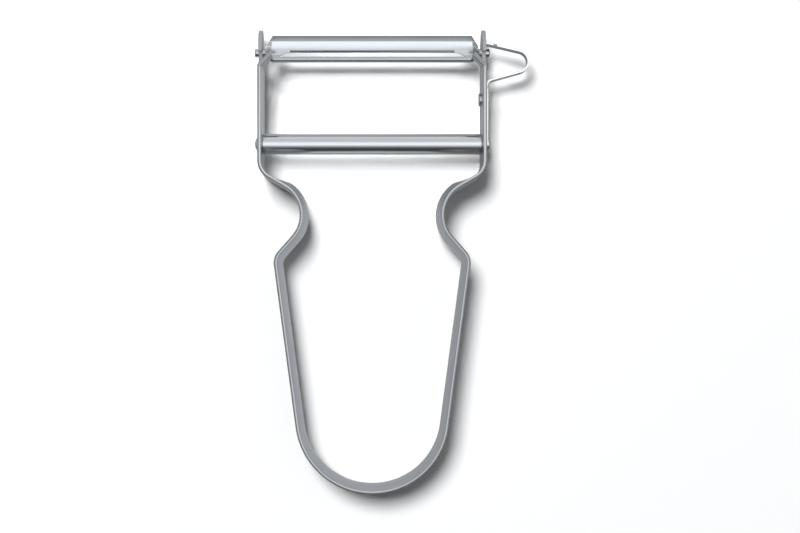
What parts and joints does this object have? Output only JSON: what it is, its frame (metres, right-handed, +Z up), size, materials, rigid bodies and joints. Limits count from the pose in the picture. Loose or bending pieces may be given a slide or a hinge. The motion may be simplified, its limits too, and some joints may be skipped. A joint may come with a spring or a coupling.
{
  "type": "vegetable peeler",
  "caption": "Horseshoe vegetable peeler: a bent steel ribbon handle, a swivelling slotted blade, a crossbar and a side loop for potato eyes.",
  "frame": {"origin": "middle of the ribbon's thickness at the handle's end, on the plane the peeler lies on", "axes": "+Y from the handle's end to the blade, +X to the side with the eye gouger, +Z up from the plane it lies on; the pivot axis of the blade is parallel to X"},
  "size_m": [0.0652, 0.1099, 0.012],
  "materials": {
    "ribbon_steel": "satin, drawn along the ribbon, bright at its rounded edges",
    "blade_steel": "tumbled satin, with a finely ground bevel",
    "crossbar_plating": "bright nickel plating, lightly worn",
    "gouger_steel": "satin, sheared edges",
    "rivet_steel": "bright steel wire, upset by hammering"
  },
  "bodies": {
    "frame": {"handle_frame": "ribbon_steel", "crossbar_tube": "crossbar_plating", "crossbar_rod": "rivet_steel", "eye_gouger": "gouger_steel", "gouger_rivet": "rivet_steel"},
    "blade": {"blade": "blade_steel"}
  },
  "joints": [
    {"name": "blade_swivel", "type": "hinge", "parent": "frame", "child": "blade", "pos_m": [0, 0.10405, 0.0054], "axis": [1, 0, 0], "range_deg": [0, 100]}
  ]
}
